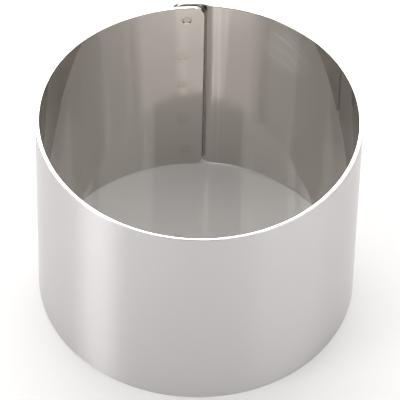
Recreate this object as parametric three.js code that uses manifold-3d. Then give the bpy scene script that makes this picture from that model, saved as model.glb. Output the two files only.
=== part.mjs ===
// Pastry ring: a strip of stainless sheet rolled into a ring and closed by spot welds.
// Its two ends lap at the back, the inner end over the face of the outer one.
// Millimetres, +Z up. The ring stands on z = 0 about the Z axis, with its weld line on +Y.
import * as THREE from "three";
import { mergeVertices } from "three/addons/utils/BufferGeometryUtils.js";
import Module from "manifold-3d";

// Driving dimensions of the strip
const INNER_DIAMETER = 80;
const HEIGHT = 60;
const WALL = 1;
const EDGE_BREAK = 0.15; // chamfer left by deburring
const BASE_CORNER_RADIUS = 2; // rounded corners of the two ends, at the base
const RIM_CORNER_RADIUS = 3; // the same at the rim

// Driving dimensions of the lap, lengths measured along the wall
const INNER_LAP = 5.5; // from the weld line to the tip of the inner end
const OUTER_LAP = 3.3; // from the weld line to the tip of the outer end
const LAP_GAP = 0.2; // air between the two ends
const JOGGLE_LENGTH = 2.8; // bend that lifts the outer end over the inner one
const JOGGLE_COVER = 0.4; // stretch of that bend behind the tip of the inner end
// How far each end strays inwards from the round, at the base and at the rim
const INNER_DRIFT = [0.15, 1];
const OUTER_DRIFT = [0, 0.5];
const FOOT_RISE = 0.55; // how far the base edge of the outer end climbs off the table
const RIM_DIP = 0.3; // how far the rim of the inner end drops below the rest
const EDGE_REACH = 3; // stretch of the wall next to an edge that follows it up or down
const DRIFT_LENGTH = 40; // stretch over which an end strays, climbs or drops

// Driving dimensions of the spot welds
const WELD_DIAMETER = 2.5;
const WELD_DISH = 0.15; // depth of the electrode mark on each face
const WELD_CLEARANCE = 0.15; // between a weld and its hole through both ends
const WELD_MARGIN = 4.8; // from the rim or the base to the centre of the nearest weld
// How far the hand placed each weld from its even place, along the wall and up, from the base up
const WELD_SCATTER = [
  [0.9, 1.2],
  [-0.1, 0.5],
  [-0.4, 1.2],
  [-0.3, -0.9],
  [0.7, 0],
];

// Facets of the round shapes
const ROUND_FACETS = 144;
const JOGGLE_FACETS = 8;
const CORNER_FACETS = 6;
const WELD_FACETS = 24;
const DISH_FACETS = 3;

// Places that follow from the sizes
const FULL_CIRCLE = 2 * Math.PI;
const innerRadius = INNER_DIAMETER / 2;
const lapStep = WALL + LAP_GAP; // from a face of the inner end to the same face of the outer one
const seamRadius = innerRadius + WALL + LAP_GAP / 2; // middle of the gap, before the ends stray
const tipTurn = INNER_LAP / seamRadius; // from the weld line to the tip of the inner end
const tipAngle = Math.PI / 2 - tipTurn; // of that tip about +Z, from +X
const lapTurn = tipTurn + OUTER_LAP / seamRadius;
const driftTurn = DRIFT_LENGTH / innerRadius;
const joggleEnd = FULL_CIRCLE + JOGGLE_COVER / innerRadius;
const joggleStart = joggleEnd - JOGGLE_LENGTH / innerRadius;
const stripTurn = FULL_CIRCLE + lapTurn;
const weldPitch = (HEIGHT - 2 * WELD_MARGIN) / (WELD_SCATTER.length - 1);
const weldRadius = WELD_DIAMETER / 2;
const weldHalfLength = WALL + LAP_GAP / 2;

const wasm = await Module();
wasm.setup();

// A closed geometry as a solid that can be cut
function solidOf(geometry) {
  geometry.deleteAttribute("normal");
  geometry.deleteAttribute("uv");
  const merged = mergeVertices(geometry);
  return new wasm.Manifold(
    new wasm.Mesh({
      numProp: 3,
      vertProperties: merged.getAttribute("position").array,
      triVerts: Uint32Array.from(merged.index.array),
    }),
  );
}

// A solid back as a geometry for a mesh
function geometryOf(solid) {
  const { vertProperties, triVerts } = solid.getMesh();
  const geometry = new THREE.BufferGeometry();
  geometry.setAttribute("position", new THREE.BufferAttribute(vertProperties, 3));
  geometry.setIndex(new THREE.BufferAttribute(triVerts, 1));
  geometry.computeVertexNormals();
  return geometry;
}

// Radius of the strip's inner face before its ends stray, at a turn counted from the tip of the inner end
function faceRadius(turn) {
  return innerRadius + lapStep * THREE.MathUtils.smoothstep(turn, joggleStart, joggleEnd);
}

// Share of its stray that each end has reached, at a turn of up to a full circle from that tip
function innerShare(turn) {
  return 1 - THREE.MathUtils.smoothstep(turn, lapTurn, lapTurn + driftTurn);
}

function outerShare(turn) {
  return THREE.MathUtils.smoothstep(turn, joggleStart - driftTurn, joggleStart);
}

// How far the wall strays inwards at that turn and at a height
function driftAt(turn, height) {
  const { lerp, smoothstep } = THREE.MathUtils;
  const inner = lerp(...INNER_DRIFT, height / HEIGHT);
  const outer = lerp(...OUTER_DRIFT, height / HEIGHT);
  const lapped = smoothstep(turn, joggleStart, FULL_CIRCLE);
  return inner * innerShare(turn) + lerp(outer * outerShare(turn), inner, lapped);
}

// Turns along the strip at which its outline has points, finer in the joggle
function stripTurns() {
  const stretches = [
    [0, joggleStart, ROUND_FACETS],
    [joggleStart, joggleEnd, JOGGLE_FACETS],
    [joggleEnd, stripTurn, JOGGLE_FACETS],
  ];
  const turns = stretches.flatMap(([from, to, facets]) =>
    Array.from({ length: facets }, (_, i) => THREE.MathUtils.lerp(from, to, i / facets)),
  );
  return [...turns, stripTurn];
}

// The rolled strip with square ends, as its plan drawn upwards
function rolledStrip() {
  const pointAt = (turn, offset) => {
    const radius = faceRadius(turn) + offset;
    const angle = tipAngle + turn;
    return new THREE.Vector2(radius * Math.cos(angle), radius * Math.sin(angle));
  };
  const turns = stripTurns();
  const innerFace = turns.map((turn) => pointAt(turn, 0));
  const outerFace = turns.map((turn) => pointAt(turn, WALL)).reverse();
  return new THREE.ExtrudeGeometry(new THREE.Shape([...innerFace, ...outerFace]), {
    depth: HEIGHT - 2 * EDGE_BREAK,
    bevelThickness: EDGE_BREAK,
    bevelSize: EDGE_BREAK,
    bevelOffset: -EDGE_BREAK,
    bevelSegments: 1,
  }).translate(0, 0, EDGE_BREAK);
}

// What a rounded corner leaves off a square one, through the wall on the weld line at z = 0.
// The strip lies on the side of the corner that the two signs give, along X and along Z.
function cornerWaste(radius, signX, signZ) {
  const reach = 2 * lapStep + radius;
  const round = Array.from({ length: CORNER_FACETS + 1 }, (_, i) => {
    const angle = ((i / CORNER_FACETS) * Math.PI) / 2;
    return [radius * (1 - Math.sin(angle)), radius * (1 - Math.cos(angle))];
  });
  const outline = [[-LAP_GAP, -reach], [radius, -reach], ...round, [-LAP_GAP, radius]];
  const points = outline.map(([x, z]) => new THREE.Vector2(signX * x, signZ * z));
  return new THREE.ExtrudeGeometry(new THREE.Shape(points), { depth: 2 * reach, bevelEnabled: false })
    .rotateX(Math.PI / 2)
    .translate(0, seamRadius + reach, 0);
}

// The strip with the four corners of its ends rounded
function roundCorners(strip) {
  const insideSeam = solidOf(
    new THREE.CylinderGeometry(seamRadius, seamRadius, 3 * HEIGHT, 2 * ROUND_FACETS).rotateX(Math.PI / 2),
  );
  const corners = [
    [0, BASE_CORNER_RADIUS, 1],
    [HEIGHT, RIM_CORNER_RADIUS, -1],
  ];
  let rounded = strip;
  for (const [height, radius, signZ] of corners) {
    const innerWaste = cornerWaste(radius, -1, signZ).translate(0, 0, height).rotateZ(-tipTurn);
    const outerWaste = cornerWaste(radius, 1, signZ).translate(0, 0, height).rotateZ(lapTurn - tipTurn);
    rounded = rounded
      .subtract(solidOf(innerWaste).intersect(insideSeam))
      .subtract(solidOf(outerWaste).subtract(insideSeam));
  }
  return rounded;
}

// Height of each weld and its turn from the weld line, from the base up
const welds = WELD_SCATTER.map(([along, up], i) => ({
  height: WELD_MARGIN + i * weldPitch + up,
  turn: -along / seamRadius,
}));

// The strip with a hole through both ends for each weld
function punchWelds(strip) {
  const holeRadius = weldRadius + WELD_CLEARANCE;
  return welds.reduce((punched, { height, turn }) => {
    const hole = new THREE.CylinderGeometry(holeRadius, holeRadius, 4 * lapStep, WELD_FACETS)
      .translate(0, seamRadius, height)
      .rotateZ(turn);
    return punched.subtract(solidOf(hole));
  }, strip);
}

// The band with its ends strayed from the round
function strayEnds(geometry) {
  const position = geometry.getAttribute("position");
  const point = new THREE.Vector3();
  for (let i = 0; i < position.count; i++) {
    point.fromBufferAttribute(position, i);
    const radius = Math.hypot(point.x, point.y);
    const turn = THREE.MathUtils.euclideanModulo(Math.atan2(point.y, point.x) - tipAngle, FULL_CIRCLE);
    const share = 1 - driftAt(turn, point.z) / radius;
    const isOuterLap = radius > seamRadius;
    const nearBase = Math.max(0, 1 - point.z / EDGE_REACH);
    const nearRim = Math.max(0, 1 - (HEIGHT - point.z) / EDGE_REACH);
    const climb = FOOT_RISE * (isOuterLap ? 1 : outerShare(turn)) * nearBase;
    const drop = RIM_DIP * (isOuterLap ? 0 : innerShare(turn)) * nearRim;
    position.setXYZ(i, point.x * share, point.y * share, point.z + climb - drop);
  }
  geometry.computeVertexNormals();
  return geometry;
}

// A weld about the Y axis: a slug as long as the lap is thick, with a dished mark on each end
function weldGeometry() {
  const dish = Array.from({ length: DISH_FACETS + 1 }, (_, i) => {
    const share = i / DISH_FACETS;
    return [weldRadius * share, weldHalfLength - WELD_DISH * (1 - share * share)];
  });
  const inside = dish.map(([radius, along]) => new THREE.Vector2(radius, -along));
  const outside = dish.map(([radius, along]) => new THREE.Vector2(radius, along)).reverse();
  return new THREE.LatheGeometry([...inside, ...outside], WELD_FACETS);
}

const brushedSteel = new THREE.MeshStandardMaterial({ color: "#c4bfb8", roughness: 0.4, metalness: 1 });
const weldedSteel = new THREE.MeshStandardMaterial({ color: "#a89f95", roughness: 0.5, metalness: 1 });

function namedMesh(name, geometry, material) {
  const mesh = new THREE.Mesh(geometry, material.clone());
  mesh.name = name;
  return mesh;
}

const pastryRing = new THREE.Group();
pastryRing.name = "pastry_ring";

const band = punchWelds(roundCorners(solidOf(rolledStrip())));
pastryRing.add(namedMesh("band", strayEnds(geometryOf(band)), brushedSteel));

welds.forEach(({ height, turn }, i) => {
  const place = new THREE.Group();
  place.rotation.z = turn;
  const weld = namedMesh(`spot_weld_${i + 1}`, weldGeometry(), weldedSteel);
  weld.position.set(0, seamRadius - driftAt(tipTurn, height), height);
  place.add(weld);
  pastryRing.add(place);
});

export default pastryRing;
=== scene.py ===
"""Pastry ring of brushed sheet steel: a rolled band, lapped and spot welded at the back.

The band is cut, punched and deburred as a flat blank and then rolled, and each weld is a slug that fills
its hole through both ends of the strip. Metres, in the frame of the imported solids.
"""

import logging
import math
from collections.abc import Iterator
from contextlib import contextmanager
from dataclasses import dataclass, field
from enum import Enum
from typing import Any

import bpy
import numpy as np
from mathutils import Matrix, Vector


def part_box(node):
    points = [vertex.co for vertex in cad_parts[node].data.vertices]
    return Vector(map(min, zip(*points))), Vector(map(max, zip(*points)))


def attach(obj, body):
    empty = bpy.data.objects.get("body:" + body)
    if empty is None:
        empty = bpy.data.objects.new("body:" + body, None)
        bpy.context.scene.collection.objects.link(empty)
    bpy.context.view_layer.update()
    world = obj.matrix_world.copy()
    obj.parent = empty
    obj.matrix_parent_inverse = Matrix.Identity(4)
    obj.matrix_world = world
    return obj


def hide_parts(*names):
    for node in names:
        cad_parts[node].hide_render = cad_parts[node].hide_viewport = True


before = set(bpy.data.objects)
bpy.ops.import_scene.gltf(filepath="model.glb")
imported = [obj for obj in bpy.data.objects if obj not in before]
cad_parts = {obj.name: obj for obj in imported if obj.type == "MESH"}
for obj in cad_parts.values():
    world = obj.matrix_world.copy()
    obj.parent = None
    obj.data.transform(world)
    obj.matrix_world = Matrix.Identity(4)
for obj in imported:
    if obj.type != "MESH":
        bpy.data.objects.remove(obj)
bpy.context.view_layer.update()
SIZE_DIGITS = 4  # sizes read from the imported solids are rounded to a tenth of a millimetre
BODY = "root"
LOG = logging.getLogger("pastry_ring")

MM = 0.001
SMOOTH_ANGLE = math.radians(40)
FACING_ANGLE = math.radians(25)  # within which a face counts as facing a way
NOISE_MIDDLE = 0.5
FLAT_PLACE = "flat_place"  # the attribute that keeps each point's place on the flat strip
MARK_DEPTHS = (0.03 * MM, 0.02 * MM, 0.03 * MM, 0.04 * MM, 0.17 * MM)  # of the welds, from the base up

Pair = tuple[float, float]
Triple = tuple[float, float, float]
Colour = Triple


class Signal:
    """A shader socket on which Python's operators add Math nodes."""

    def __init__(self, tree: "ShaderTree", socket: bpy.types.NodeSocket) -> None:
        """Wraps one output socket of a tree."""
        self.tree = tree
        self.socket = socket

    def pick(self, output: str) -> "Signal":
        """Returns another output of the same node."""
        return Signal(self.tree, self.socket.node.outputs[output])

    def __add__(self, other: "Value") -> "Signal":
        """Returns the sum."""
        return self.tree.math("ADD", self, other)

    def __sub__(self, other: "Value") -> "Signal":
        """Returns the difference."""
        return self.tree.math("SUBTRACT", self, other)

    def __rsub__(self, other: "Value") -> "Signal":
        """Returns a value less this signal."""
        return self.tree.math("SUBTRACT", other, self)

    def __mul__(self, other: "Value") -> "Signal":
        """Returns the product."""
        return self.tree.math("MULTIPLY", self, other)

    def __truediv__(self, other: "Value") -> "Signal":
        """Returns the quotient."""
        return self.tree.math("DIVIDE", self, other)

    __radd__ = __add__


Value = Signal | float


class ShaderTree:
    """A node tree that is written as expressions."""

    def __init__(self, tree: bpy.types.NodeTree) -> None:
        """Empties a tree and takes it over.

        Args:
            tree: The node tree of a material or a world.
        """
        self.nodes = tree.nodes
        self.links = tree.links
        self.nodes.clear()

    def add(
        self,
        kind: str,
        settings: dict[str, Any] | None = None,
        inputs: dict[str | int, Any] | None = None,
    ) -> bpy.types.Node:
        """Adds one node.

        Args:
            kind: The node's type, without the leading ShaderNode.
            settings: Properties of the node, set first.
            inputs: Values or signals by socket name or number.

        Returns:
            The new node.
        """
        node = self.nodes.new("ShaderNode" + kind)
        for name, value in (settings or {}).items():
            setattr(node, name, value)
        for name, value in (inputs or {}).items():
            self.feed(node.inputs[name], value)
        return node

    def feed(self, socket: bpy.types.NodeSocket, value: Any) -> None:
        """Links a signal to a socket, or writes a plain value on it.

        Args:
            socket: The input socket.
            value: The signal or the plain value.
        """
        if isinstance(value, Signal):
            self.links.new(value.socket, socket)
        else:
            socket.default_value = value

    def node(
        self,
        kind: str,
        settings: dict[str, Any] | None = None,
        inputs: dict[str | int, Any] | None = None,
        output: str | int = 0,
    ) -> Signal:
        """Adds one node and returns one of its outputs."""
        return Signal(self, self.add(kind, settings, inputs).outputs[output])

    def math(self, operation: str, *operands: Value) -> Signal:
        """Adds a Math node and returns its result."""
        return self.node("Math", {"operation": operation}, dict(enumerate(operands)))

    def attribute(self, name: str) -> Signal:
        """Returns a mesh attribute as a vector."""
        return self.node("Attribute", {"attribute_name": name}, output="Vector")

    def noise(self, place: Signal, sizes: Triple, detail: float = 2.0) -> Signal:
        """Adds a noise.

        Args:
            place: The places at which it is read, as a vector.
            sizes: The size of one feature along each axis, infinite where the noise stays the same.
            detail: How many finer layers it has.

        Returns:
            The noise, from 0 to 1.
        """
        scale = tuple(1.0 / size for size in sizes)
        stretched = self.node("VectorMath", {"operation": "MULTIPLY"}, {0: place, 1: scale})
        return self.node("TexNoise", {}, {"Vector": stretched, "Scale": 1.0, "Detail": detail})

    def ease(self, value: Value, low: float, high: float) -> Signal:
        """Returns a smooth step from 0 at low to 1 at high."""
        inputs = {"Value": value, "From Min": low, "From Max": high}
        return self.node("MapRange", {"interpolation_type": "SMOOTHSTEP"}, inputs)

    def mix(self, share: Value, first: Signal | Colour, second: Signal | Colour) -> Signal:
        """Mixes two colours.

        Args:
            share: The share of the second colour.
            first: The first colour.
            second: The second colour.

        Returns:
            The mixed colour.
        """
        node = self.add("Mix", {"data_type": "RGBA"}, {"Factor": share})
        colour_inputs = [socket for socket in node.inputs if socket.type == "RGBA"]
        for socket, colour in zip(colour_inputs, (first, second)):
            self.feed(socket, colour if isinstance(colour, Signal) else (*colour, 1.0))
        return Signal(self, next(socket for socket in node.outputs if socket.type == "RGBA"))

    def surface(self, inputs: dict[str, Any]) -> None:
        """Ends the tree in a Principled surface with these inputs."""
        shader = self.node("BsdfPrincipled", {}, inputs)
        self.add("OutputMaterial", {}, {"Surface": shader})


def between(share: Signal, low: float, high: float) -> Signal:
    """Returns the value at a share of the way from low to high."""
    return low + share * (high - low)


def new_material(name: str) -> tuple[bpy.types.Material, ShaderTree]:
    """Makes an empty node material.

    Args:
        name: The material's name.

    Returns:
        The material and its tree.
    """
    material = bpy.data.materials.new(name)
    material.use_nodes = True
    return material, ShaderTree(material.node_tree)


def activate(piece: bpy.types.Object) -> None:
    """Selects one object alone and makes it active.

    Args:
        piece: The object.
    """
    bpy.ops.object.select_all(action="DESELECT")
    piece.select_set(True)
    bpy.context.view_layer.objects.active = piece


@contextmanager
def editing(piece: bpy.types.Object) -> Iterator[None]:
    """Holds a piece in edit mode.

    Args:
        piece: The mesh object to edit.

    Yields:
        Nothing, while edit mode lasts.
    """
    activate(piece)
    bpy.ops.object.mode_set(mode="EDIT")
    yield
    bpy.ops.object.mode_set(mode="OBJECT")


def apply_modifier(piece: bpy.types.Object, kind: str, **settings: Any) -> None:
    """Adds a modifier to a piece and applies it.

    Args:
        piece: The mesh object.
        kind: The modifier's type.
        settings: Its properties.
    """
    activate(piece)
    modifier = piece.modifiers.new(kind.lower(), kind)
    for name, value in settings.items():
        setattr(modifier, name, value)
    bpy.ops.object.modifier_apply(modifier=modifier.name)


def smooth(piece: bpy.types.Object) -> None:
    """Shades a piece smooth, apart from its sharp edges."""
    activate(piece)
    bpy.ops.object.shade_smooth_by_angle(angle=SMOOTH_ANGLE)


def set_in_place(piece: bpy.types.Object, material: bpy.types.Material, node: str) -> None:
    """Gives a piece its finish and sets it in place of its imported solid.

    Args:
        piece: The mesh object.
        material: Its finish.
        node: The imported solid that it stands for.
    """
    piece.data.materials.clear()
    piece.data.materials.append(material)
    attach(piece, BODY)
    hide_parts(node)
    LOG.info("%s stands for %s, %d faces", piece.name, node, len(piece.data.polygons))


def ease(value: np.ndarray, low: float, high: float) -> np.ndarray:
    """Returns a smooth step from 0 at low to 1 at high."""
    share = np.clip((value - low) / (high - low), 0.0, 1.0)
    return share * share * (3.0 - 2.0 * share)


@dataclass(frozen=True)
class RolledStrip:
    """How the flat strip is rolled: its size, and the path of its inner face.

    A flat point is its way along the strip from the tip of the inner end, its height, and its depth from
    the inner face. Lengths along the strip are measured at the seam between the lapped ends. Both ends
    stray inwards from the round, by one amount at the base and another at the rim. The base edge climbs off
    the table towards the outer end, and the rim drops towards the inner end.
    """

    inner_radius: float
    height: float
    wall: float = 1.0 * MM
    inner_lap: float = 5.5 * MM  # from the weld line to the tip of the inner end
    outer_lap: float = 3.3 * MM  # from the weld line to the tip of the outer end
    lap_gap: float = 0.2 * MM  # air between the two ends
    inner_drift: Pair = (0.15 * MM, 1.0 * MM)  # how far the inner end strays, at the base and at the rim
    outer_drift: Pair = (0.0, 0.5 * MM)
    drift_length: float = 40.0 * MM  # stretch of the inner face over which an end strays
    foot_rise: float = 0.55 * MM
    rim_dip: float = 0.3 * MM
    edge_reach: float = 3.0 * MM  # stretch of the wall next to an edge that follows it up or down
    joggle_length: float = 2.8 * MM  # bend that lifts the outer end over the inner one
    joggle_cover: float = 0.4 * MM  # stretch of that bend behind the tip of the inner end

    @classmethod
    def from_frame(cls) -> "RolledStrip":
        """Reads the strip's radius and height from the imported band.

        Returns:
            The strip.
        """
        low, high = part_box("band")
        outer_radius = round(high.x, SIZE_DIGITS)
        return cls(inner_radius=outer_radius - cls.wall, height=round(high.z - low.z, SIZE_DIGITS))

    @property
    def lap(self) -> float:
        """Returns how far the two ends lap."""
        return self.inner_lap + self.outer_lap

    @property
    def lap_step(self) -> float:
        """Returns the way from a face of the inner end to the same face of the outer end."""
        return self.wall + self.lap_gap

    @property
    def seam_radius(self) -> float:
        """Returns the radius of the middle of the gap between the ends, before they stray."""
        return self.inner_radius + self.wall + self.lap_gap / 2

    @property
    def stretch(self) -> float:
        """Returns how much longer a way is at the seam than at the inner face."""
        return self.seam_radius / self.inner_radius

    @property
    def turn_length(self) -> float:
        """Returns the length of one full turn along the strip."""
        return 2 * math.pi * self.seam_radius

    @property
    def length(self) -> float:
        """Returns the length of the whole blank."""
        return self.turn_length + self.lap

    @property
    def joggle(self) -> Pair:
        """Returns where the bend begins and ends that lifts the outer end over the inner one."""
        end = self.turn_length + self.joggle_cover * self.stretch
        return end - self.joggle_length * self.stretch, end

    @property
    def drift_reach(self) -> float:
        """Returns the length over which an end strays."""
        return self.drift_length * self.stretch

    def inner_share(self, along: np.ndarray) -> np.ndarray:
        """Returns the share of its stray that the inner end has reached."""
        return 1.0 - ease(along, self.lap, self.lap + self.drift_reach)

    def outer_share(self, along: np.ndarray) -> np.ndarray:
        """Returns the share of its stray that the outer end has reached before its joggle."""
        return ease(along, self.joggle[0] - self.drift_reach, self.joggle[0])

    def face_radius(self, along: np.ndarray, up: np.ndarray) -> np.ndarray:
        """Works out the radius of the inner face.

        Args:
            along: Places along the strip.
            up: Their heights.

        Returns:
            The radius at each place.
        """
        joggle_start, joggle_end = self.joggle
        place = along % self.turn_length
        inner_drift, outer_drift = (
            base + (rim - base) * up / self.height for base, rim in (self.inner_drift, self.outer_drift)
        )
        lapped = ease(place, joggle_start, self.turn_length)
        strayed = inner_drift * (self.inner_share(place) + lapped)
        strayed += outer_drift * self.outer_share(place) * (1.0 - lapped)
        return self.inner_radius - strayed + self.lap_step * ease(along, joggle_start, joggle_end)

    def roll(self, flat: np.ndarray) -> np.ndarray:
        """Rolls flat points into the ring.

        Args:
            flat: Rows of way along, height and depth.

        Returns:
            The rolled points.
        """
        along, up, depth = flat.T
        angle = math.pi / 2 + (along - self.inner_lap) / self.seam_radius
        radius = self.face_radius(along, up) + depth
        near_base = np.clip(1.0 - up / self.edge_reach, 0.0, 1.0)
        near_rim = np.clip(1.0 - (self.height - up) / self.edge_reach, 0.0, 1.0)
        climb = self.foot_rise * self.outer_share(along) * near_base
        drop = self.rim_dip * self.inner_share(along) * near_rim
        return np.column_stack((radius * np.cos(angle), radius * np.sin(angle), up + climb - drop))

    def roll_piece(self, piece: bpy.types.Object) -> None:
        """Rolls a flat mesh, and keeps its flat points as the attribute that the finishes read.

        Args:
            piece: The mesh object, still flat.
        """
        mesh = piece.data
        points = np.empty(3 * len(mesh.vertices))
        mesh.vertices.foreach_get("co", points)
        kept = mesh.attributes.new(FLAT_PLACE, "FLOAT_VECTOR", "POINT")
        kept.data.foreach_set("vector", points)
        mesh.vertices.foreach_set("co", self.roll(points.reshape(-1, 3)).ravel())
        mesh.update()


@dataclass(frozen=True)
class ScuffsAndHighlight:
    """A hazy patch of painted highlight on the inside, some way beside the lap, with slanting scuffs
    lightened into it.
    """

    beside: float = 23.5 * MM  # place of the patch's middle
    up: float = 50.0 * MM
    reach: float = 9.0 * MM
    length: float = 14.0 * MM
    width: float = 1.1 * MM
    slope: float = 0.45
    # share of painted highlight over the whole patch, under the scuffs
    highlight_haze: float = 0.3
    strength: float = 0.6
    levels: Pair = (0.52, 0.7)  # of the noise, between which a scuff comes up

    def mask(self, tree: ShaderTree, beside: Signal, up: Signal) -> Signal:
        """Works out where the sheet is lightened: the painted highlight over the whole patch, and the scuffs
        in it.

        Args:
            tree: The finish's tree.
            beside: The way from the lap.
            up: The height.

        Returns:
            The share of the lighter tone.
        """
        slant = tree.node("CombineXYZ", {}, {"X": beside, "Y": up + beside * self.slope})
        noise = tree.noise(slant, (self.length, self.width, math.inf), detail=3.0)
        out = (beside - self.beside) / self.reach
        above = (up - self.up) / self.reach
        patch = 1.0 - tree.ease(out * out + above * above, 0.0, 1.0)
        return (self.highlight_haze + tree.ease(noise, *self.levels) * self.strength) * patch


@dataclass(frozen=True)
class HighlightStreaks:
    """Faint upright streaks of painted highlight on the inside, close beside the lap, standing for the light
    that the joggle's bend reflects.
    """

    width: float = 0.5 * MM
    length: float = 125.0 * MM
    rise: float = 2.4 * MM  # way from the lap at which they are in full
    fall: Pair = (3.2 * MM, 8.0 * MM)  # ways from the lap between which they fade
    strength: float = 0.4
    levels: Pair = (0.45, 0.7)  # of the noise, between which a streak comes up

    def mask(self, tree: ShaderTree, beside: Signal, up: Signal) -> Signal:
        """Works out where the painted highlight streaks lighten the sheet.

        Args:
            tree: The finish's tree.
            beside: The way from the lap.
            up: The height.

        Returns:
            The share of the lighter tone.
        """
        upright = tree.node("CombineXYZ", {}, {"X": beside, "Y": up})
        noise = tree.noise(upright, (self.width, self.length, math.inf))
        patch = tree.ease(beside, 0.0, self.rise) * (1.0 - tree.ease(beside, *self.fall))
        return tree.ease(noise, *self.levels) * patch * self.strength


@dataclass(frozen=True)
class BrushedSteel:
    """Satin stainless sheet, with a fine grain along the strip and a heat tint round the welds.

    The inside is smoother than the outside, and its colour is lightened by scuffs, by a painted highlight
    round them and by painted highlight streaks beside the lap.
    """

    tone: Colour = (0.616, 0.60, 0.602)
    inside_tone: Colour = (0.631, 0.60, 0.570)
    # lighter tone of the scuffs and of the painted highlights on the inside
    scuff_and_highlight_tone: Colour = (0.88, 0.85, 0.82)
    tint: Colour = (0.55, 0.50, 0.43)
    roughness: float = 0.32
    inside_roughness: float = 0.045
    blend: Pair = (0.2, 0.8)  # shares of the wall between which the inside turns into the outside
    anisotropy: float = 0.95
    anisotropy_turn: float = 0.25
    grain_length: float = 18.0 * MM
    grain_width: float = 0.12 * MM
    broad_length: float = 45.0 * MM
    broad_width: float = 0.6 * MM
    broad_share: float = 0.3
    grain_depth: float = 0.004 * MM
    grain_strength: float = 0.35
    inside_grain: float = 0.3
    grain_spread: float = 0.16  # how far the grain spreads the roughness
    cloud_length: float = 22.2 * MM
    cloud_height: float = 16.7 * MM
    cloud_spread: float = 0.12
    heat_reach: float = 2.4  # of the tint, in radii of a weld
    heat_strength: float = 0.25
    scuffs_and_highlight: ScuffsAndHighlight = ScuffsAndHighlight()
    highlight_streaks: HighlightStreaks = HighlightStreaks()

    def material(self, strip: RolledStrip, welds: list["SpotWeld"]) -> bpy.types.Material:
        """Builds the finish.

        Args:
            strip: The rolled strip, whose flat places the grain follows.
            welds: The welds that have tinted the sheet.

        Returns:
            The finished material.
        """
        material, tree = new_material("brushed_steel")
        flat = tree.attribute(FLAT_PLACE)
        parts = tree.node("SeparateXYZ", {}, {"Vector": flat})
        along, up, depth = (parts.pick(axis) for axis in "XYZ")
        beside = strip.turn_length - along
        outside = tree.ease(depth, *(share * strip.wall for share in self.blend))
        fine = tree.noise(flat, (self.grain_length, self.grain_width, math.inf))
        broad = tree.noise(flat, (self.broad_length, self.broad_width, math.inf))
        cloud = tree.noise(flat, (self.cloud_length, self.cloud_height, math.inf), detail=3.0)
        height = fine * (1.0 - self.broad_share) + broad * self.broad_share
        grain = {
            "Strength": self.grain_strength,
            "Distance": self.grain_depth,
            "Height": height * between(outside, self.inside_grain, 1.0),
        }
        spread = (fine - NOISE_MIDDLE) * self.grain_spread + (cloud - NOISE_MIDDLE) * self.cloud_spread
        # the scuffs and the painted highlights, which lighten the inside's colour below
        painted_highlights_and_scuffs = self.scuffs_and_highlight.mask(tree, beside, up) + self.highlight_streaks.mask(tree, beside, up)
        tone = tree.mix(outside, self.inside_tone, self.tone)
        tone = tree.mix(painted_highlights_and_scuffs * (1.0 - outside), tone, self.scuff_and_highlight_tone)
        heat = self._heat(tree, tree.math("MODULO", along, strip.turn_length), up, welds)
        tree.surface(
            {
                "Base Color": tree.mix(heat, tone, self.tint),
                "Metallic": 1.0,
                "Roughness": between(outside, self.inside_roughness, self.roughness) * (1.0 + spread),
                "Anisotropic": self.anisotropy,
                "Anisotropic Rotation": self.anisotropy_turn,
                "Normal": tree.node("Bump", {}, grain),
            }
        )
        return material

    def _heat(self, tree: ShaderTree, along: Signal, up: Signal, welds: list["SpotWeld"]) -> Signal:
        """Works out how strongly the welds' heat has tinted the sheet.

        Args:
            tree: The finish's tree.
            along: The way along the strip, counted anew after a full turn, so that both ends are tinted.
            up: The height.
            welds: The welds.

        Returns:
            The share of the tint.
        """
        heat: Value = 0.0
        for weld in welds:
            out, above = along - weld.along, up - weld.up
            distance = tree.math("SQRT", out * out + above * above)
            near = 1.0 - tree.ease(distance, weld.radius, self.heat_reach * weld.radius)
            heat = tree.math("MAXIMUM", near, heat)
        return heat * self.heat_strength


@dataclass(frozen=True)
class WeldMark:
    """The duller, slightly scorched metal that an electrode leaves."""

    tone: Colour = (0.62, 0.575, 0.54)
    dark_share: float = 0.94  # how dark the darkest grit is
    roughness: float = 0.18
    roughness_spread: float = 0.06
    grit_size: float = MM / 9
    grit_depth: float = 0.01 * MM
    grit_strength: float = 0.3

    def material(self) -> bpy.types.Material:
        """Builds the finish.

        Returns:
            The finished material.
        """
        material, tree = new_material("weld_mark")
        grit = tree.noise(tree.attribute(FLAT_PLACE), (self.grit_size,) * 3, detail=3.0)
        bump = {"Strength": self.grit_strength, "Distance": self.grit_depth, "Height": grit}
        dark_tone = tuple(channel * self.dark_share for channel in self.tone)
        tree.surface(
            {
                "Base Color": tree.mix(grit, dark_tone, self.tone),
                "Metallic": 1.0,
                "Roughness": self.roughness + (grit - NOISE_MIDDLE) * self.roughness_spread,
                "Normal": tree.node("Bump", {}, bump),
            }
        )
        return material


class WeldEnd(Enum):
    """The two ends of a weld that an electrode presses on, and the way that each faces on the flat strip."""

    INSIDE = Vector((0.0, 0.0, -1.0))
    OUTSIDE = Vector((0.0, 0.0, 1.0))


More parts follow.
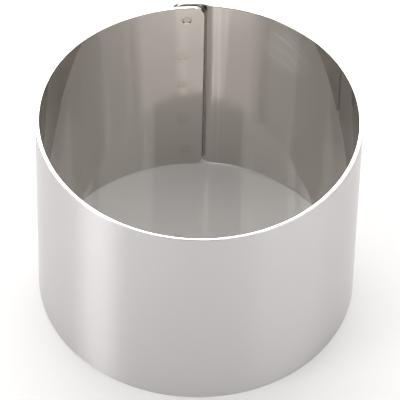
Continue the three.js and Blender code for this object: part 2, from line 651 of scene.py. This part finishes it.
@dataclass(frozen=True)
class SpotWeld:
    """One spot weld: a slug of fused metal through both lapped ends, marked where electrodes pressed."""

    node: str
    along: float
    up: float
    radius: float
    mark_depth: float
    edge_slope: float = 36.0  # of the mark's edge, in degrees
    edge_rings: int = 3
    sides: int = 64
    slot: str = "weld_mark"

    @classmethod
    def from_frame(cls, node: str, strip: RolledStrip, mark_depth: float) -> "SpotWeld":
        """Reads a weld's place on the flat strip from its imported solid.

        Args:
            node: The solid's name.
            strip: The rolled strip.
            mark_depth: How deep the electrodes pressed.

        Returns:
            The weld.
        """
        low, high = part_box(node)
        middle = (low + high) / 2
        turn = math.atan2(-middle.x, middle.y)
        along = strip.inner_lap + turn * strip.seam_radius
        return cls(node, along, middle.z, (high.z - low.z) / 2, mark_depth)

    def build(self, strip: RolledStrip) -> bpy.types.Object:
        """Models the slug flat, marks its ends and rolls it with the strip.

        Args:
            strip: The rolled strip that it joins.

        Returns:
            The finished mesh object.
        """
        length = strip.wall + strip.lap_step
        bpy.ops.object.select_all(action="DESELECT")
        bpy.ops.mesh.primitive_cylinder_add(
            vertices=self.sides,
            radius=self.radius,
            depth=length,
            location=(self.along, self.up, length / 2),
        )
        slug = bpy.context.object
        slug.name = slug.data.name = self.node.replace("spot_weld", "weld_slug")
        bpy.ops.object.transform_apply(location=True, rotation=True, scale=True)
        for end in WeldEnd:
            self._mark(slug, end)
        strip.roll_piece(slug)
        smooth(slug)
        return slug

    def _mark(self, slug: bpy.types.Object, end: WeldEnd) -> None:
        """Presses an electrode's mark into one end: a sloping edge, ring by ring, and a flat bottom.

        Args:
            slug: The slug, still flat.
            end: The end that is marked.
        """
        with editing(slug):
            bpy.ops.mesh.select_all(action="DESELECT")
        for face in slug.data.polygons:
            face.select = face.normal.angle(end.value) < FACING_ANGLE
        ring_depth = self.mark_depth / self.edge_rings
        ring_width = ring_depth / math.tan(math.radians(self.edge_slope))
        with editing(slug):
            for depth in [ring_depth] * self.edge_rings + [0.0]:
                bpy.ops.mesh.inset(thickness=ring_width, depth=-depth, use_even_offset=False)

    def dress(self, slug: bpy.types.Object, finish: bpy.types.Material) -> None:
        """Gives the slug its finish and sets it in place."""
        set_in_place(slug, finish, self.node)


@dataclass(frozen=True)
class Band:
    """The rolled band: a blank with rounded corners, thickened, deburred, scored, punched and rolled."""

    strip: RolledStrip
    welds: list[SpotWeld]
    base_corner_radius: float = 2.0 * MM
    rim_corner_radius: float = 3.0 * MM
    corner_segments: int = 10
    edge_break: float = 0.16 * MM
    edge_segments: int = 3
    edge_angle: float = 60.0  # edges that turn by more than this many degrees are broken
    column_width: float = 0.6 * MM
    fine_column_width: float = 0.25 * MM
    row_height: float = 4.0 * MM
    hairline: float = 0.004 * MM  # air round a weld in its hole
    punch_length: float = 4.0 * MM
    node: str = "band"
    slot: str = "brushed_steel"

    def build(self) -> bpy.types.Object:
        """Makes the band.

        Returns:
            The finished mesh object.
        """
        blank = self._cut_blank()
        apply_modifier(blank, "SOLIDIFY", thickness=self.strip.wall, offset=1.0)
        apply_modifier(
            blank,
            "BEVEL",
            width=self.edge_break,
            segments=self.edge_segments,
            limit_method="ANGLE",
            angle_limit=math.radians(self.edge_angle),
        )
        self._score(blank)
        self._punch(blank)
        self.strip.roll_piece(blank)
        smooth(blank)
        apply_modifier(blank, "WEIGHTED_NORMAL", keep_sharp=True)
        return blank

    def _cut_blank(self) -> bpy.types.Object:
        """Cuts the flat blank and rounds its four corners.

        Returns:
            The blank, still without thickness.
        """
        length, height = self.strip.length, self.strip.height
        bpy.ops.object.select_all(action="DESELECT")
        bpy.ops.mesh.primitive_plane_add(size=1.0, location=(length / 2, height / 2, 0.0))
        blank = bpy.context.object
        blank.name = blank.data.name = "rolled_band"
        blank.scale = (length, height, 1.0)
        bpy.ops.object.transform_apply(location=True, rotation=True, scale=True)
        for corner_height, radius in ((0.0, self.base_corner_radius), (height, self.rim_corner_radius)):
            with editing(blank):
                bpy.ops.mesh.select_all(action="DESELECT")
            for vertex in blank.data.vertices:
                vertex.select = math.isclose(vertex.co.y, corner_height, abs_tol=MM)
            with editing(blank):
                bpy.ops.mesh.bevel(offset=radius, segments=self.corner_segments, affect="VERTICES")
        return blank

    def _columns(self) -> list[float]:
        """Works out where the blank is scored along its length, closer in the joggle.

        Returns:
            The places along the blank.
        """
        strip = self.strip
        stretches = (
            (0.0, strip.joggle[0], self.column_width),
            (*strip.joggle, self.fine_column_width),
            (strip.joggle[1], strip.length, self.column_width),
        )
        places: list[float] = []
        for start, end, width in stretches:
            count = math.ceil((end - start) / width)
            places += [start + (end - start) * i / count for i in range(count)]
        return places[1:]

    def _score(self, blank: bpy.types.Object) -> None:
        """Scores the blank into columns and rows, so that it rolls smoothly.

        Args:
            blank: The blank, still flat.
        """
        rows = round(self.strip.height / self.row_height)
        cuts = [((along, 0.0, 0.0), (1.0, 0.0, 0.0)) for along in self._columns()]
        cuts += [((0.0, self.strip.height * i / rows, 0.0), (0.0, 1.0, 0.0)) for i in range(1, rows)]
        with editing(blank):
            for place, normal in cuts:
                bpy.ops.mesh.select_all(action="SELECT")
                bpy.ops.mesh.bisect(plane_co=place, plane_no=normal)

    def _punch(self, blank: bpy.types.Object) -> None:
        """Punches both ends of the blank for the welds.

        Args:
            blank: The blank, still flat.
        """
        punches: list[bpy.types.Object] = []
        for weld in self.welds:
            for along in (weld.along, weld.along + self.strip.turn_length):
                bpy.ops.object.select_all(action="DESELECT")
                bpy.ops.mesh.primitive_cylinder_add(
                    vertices=weld.sides,
                    radius=weld.radius + self.hairline,
                    depth=self.punch_length,
                    location=(along, weld.up, self.strip.wall / 2),
                )
                punches.append(bpy.context.object)
        activate(punches[0])
        for punch in punches:
            punch.select_set(True)
        bpy.ops.object.join()
        apply_modifier(blank, "BOOLEAN", operation="DIFFERENCE", solver="EXACT", object=punches[0])
        bpy.data.objects.remove(punches[0])

    def dress(self, blank: bpy.types.Object, finish: bpy.types.Material) -> None:
        """Gives the rolled band its finish and sets it in place."""
        set_in_place(blank, finish, self.node)


def direction(azimuth: float, elevation: float) -> Vector:
    """Returns the direction from the ring towards an azimuth and an elevation in degrees."""
    turn, rise = math.radians(azimuth), math.radians(elevation)
    return Vector((math.sin(turn) * math.cos(rise), -math.cos(turn) * math.cos(rise), math.sin(rise)))


@dataclass(frozen=True)
class Softbox:
    """A rectangular lamp that faces the ring. Azimuth 0 is the front, and turns towards +X.

    A feathered lamp fades towards its two sides: it is a stack of lamps, each narrower than the one before.
    """

    name: str
    azimuth: float
    elevation: float
    width: float
    height: float
    radiance: float
    upright: bool = False
    feather: float = 0.0  # share of its width over which it fades
    feather_layers: int = 4
    layer_gap: float = 4.0 * MM
    distance: float = 1.0
    aim: Triple = (0.0, 0.0, 30.0 * MM)

    def build(self) -> None:
        """Hangs the lamp, or the stack of lamps."""
        layers = self.feather_layers if self.feather else 1
        for layer in range(layers):
            share = 1.0 - self.feather * layer / layers
            self._hang(self.width * share, self.radiance / layers, self.distance + layer * self.layer_gap)

    def _hang(self, width: float, radiance: float, distance: float) -> None:
        """Hangs one lamp.

        Args:
            width: Its width.
            radiance: How bright its face is.
            distance: How far it hangs from the point that it faces.
        """
        lamp = bpy.data.lights.new(self.name, "AREA")
        lamp.shape = "RECTANGLE"
        lamp.size, lamp.size_y = width, self.height
        lamp.energy = radiance * math.pi * width * self.height
        box = bpy.data.objects.new(self.name, lamp)
        bpy.context.scene.collection.objects.link(box)
        box.location = Vector(self.aim) + direction(self.azimuth, self.elevation) * distance
        tilt = 0.0 if self.upright else self.elevation
        box.rotation_euler = direction(self.azimuth, tilt).to_track_quat("Z", "Y").to_euler()


@dataclass(frozen=True)
class PhotoCamera:
    """The camera at the photograph's angle. It aims a little off the ring's middle and leans a little."""

    azimuth: float = -6.45
    elevation: float = 49.0
    distance: float = 0.9945
    aim_height: float = 29.5 * MM
    aim_right: float = 0.62 * MM
    lean: float = 1.246  # degrees about the line of sight
    lens: float = 342.2
    sensor_width: float = 36.0
    clip: Pair = (0.01, 100.0)

    def build(self) -> None:
        """Places the camera and makes it the scene's."""
        data = bpy.data.cameras.new("camera")
        data.lens = self.lens
        data.sensor_width = self.sensor_width
        data.clip_start, data.clip_end = self.clip
        camera = bpy.data.objects.new("camera", data)
        bpy.context.scene.collection.objects.link(camera)
        eye = direction(self.azimuth, self.elevation) * self.distance
        level = direction(self.azimuth + 90.0, 0.0)
        aim = Vector((0.0, 0.0, self.aim_height)) + level * self.aim_right
        back = (eye - aim).normalized()
        right = Vector((0.0, 0.0, 1.0)).cross(back).normalized()
        up = back.cross(right)
        lean = math.radians(self.lean)
        leant_right = right * math.cos(lean) + up * math.sin(lean)
        leant_up = up * math.cos(lean) - right * math.sin(lean)
        turned = Matrix((leant_right, leant_up, back)).transposed().to_4x4()
        camera.matrix_world = Matrix.Translation(eye) @ turned
        bpy.context.scene.camera = camera


@dataclass(frozen=True)
class PaleFloor:
    """A pale floor, smooth within the ring and matt around it, with the change hidden under the wall."""

    tone: Colour = (0.875, 0.86, 0.845)
    roughness: float = 0.06
    matt_roughness: float = 0.7
    smooth_reach: float = 40.2 * MM
    matt_reach: float = 40.8 * MM
    ior: float = 1.6

    def material(self) -> bpy.types.Material:
        """Builds the finish.

        Returns:
            The finished material.
        """
        material, tree = new_material("pale_floor")
        place = tree.node("TexCoord", output="Object")
        distance = tree.node("VectorMath", {"operation": "LENGTH"}, {0: place}, output="Value")
        matt = tree.ease(distance, self.smooth_reach, self.matt_reach)
        tree.surface(
            {
                "Base Color": (*self.tone, 1.0),
                "Roughness": between(matt, self.roughness, self.matt_roughness),
                "IOR": self.ior,
            }
        )
        return material


@dataclass(frozen=True)
class Studio:
    """The pale floor, the soft lamps and the even light around them.

    Light may bounce many times off shiny faces, because the inside of the ring mirrors itself over and over.
    """

    floor: PaleFloor = PaleFloor()
    floor_size: float = 12.0
    floor_drop: float = 0.02 * MM
    ambient: float = 0.15
    glossy_bounces: int = 12
    softboxes: list[Softbox] = field(
        default_factory=lambda: [
            Softbox("back_softbox", 173.5, 48.0, 1.10, 0.25, 7.8, feather=0.7),
            Softbox("back_left_softbox", -131.5, 48.0, 0.95, 0.25, 4.8, feather=0.6),
            Softbox("back_right_softbox", 120.5, 48.0, 0.95, 0.25, 4.0, feather=0.7),
            Softbox("low_back_softbox", 173.5, 20.0, 1.60, 0.30, 0.5),
            Softbox("left_top_softbox", -96.5, 68.0, 0.50, 0.50, 0.75),
            Softbox("right_top_softbox", 83.5, 68.0, 0.50, 0.50, 1.1),
            Softbox("front_top_softbox", -6.5, 61.0, 1.00, 0.16, 1.6),
            Softbox("left_softbox", -67.5, 18.0, 0.52, 0.50, 6.6, feather=0.75),
            Softbox("left_panel", -63.5, 47.0, 0.60, 0.50, 1.1, upright=True),
            Softbox("left_fill", -94.5, 48.0, 0.35, 0.25, 1.0),
            Softbox("right_softbox", 54.5, 22.0, 0.82, 0.30, 2.7, feather=0.25),
            Softbox("right_panel", 51.5, 47.0, 0.60, 0.50, 1.0, upright=True),
            Softbox("front_strip", -1.5, 23.0, 1.60, 0.28, 1.6),
        ]
    )

    def build(self) -> None:
        """Lays the floor, hangs the lamps and sets the world."""
        self._floor()
        self._world()
        for softbox in self.softboxes:
            softbox.build()
        bpy.context.scene.view_settings.view_transform = "Standard"
        bpy.context.scene.cycles.glossy_bounces = self.glossy_bounces

    def _floor(self) -> None:
        """Lays the floor just under the ring."""
        bpy.ops.object.select_all(action="DESELECT")
        bpy.ops.mesh.primitive_plane_add(size=self.floor_size, location=(0.0, 0.0, -self.floor_drop))
        floor = bpy.context.object
        floor.name = "floor"
        floor.data.materials.append(self.floor.material())

    def _world(self) -> None:
        """Surrounds the scene with a faint even light."""
        world = bpy.data.worlds.new("studio")
        world.use_nodes = True
        bpy.context.scene.world = world
        tree = ShaderTree(world.node_tree)
        glow = tree.node("Background", {}, {"Color": (1.0, 1.0, 1.0, 1.0), "Strength": self.ambient})
        tree.add("OutputWorld", {}, {"Surface": glow})


def main() -> None:
    """Builds the camera, the studio, the welds and the band."""
    logging.basicConfig(level=logging.INFO, format="%(name)s: %(message)s")
    PhotoCamera().build()
    Studio().build()
    strip = RolledStrip.from_frame()
    nodes = sorted(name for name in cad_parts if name.startswith("spot_weld"))
    welds = [SpotWeld.from_frame(node, strip, depth) for node, depth in zip(nodes, MARK_DEPTHS, strict=True)]
    weld_mark = WeldMark().material()
    for weld in welds:
        weld.dress(weld.build(strip), weld_mark)
    band = Band(strip, welds)
    band.dress(band.build(), BrushedSteel().material(strip, welds))


if __name__ == "__main__":
    main()
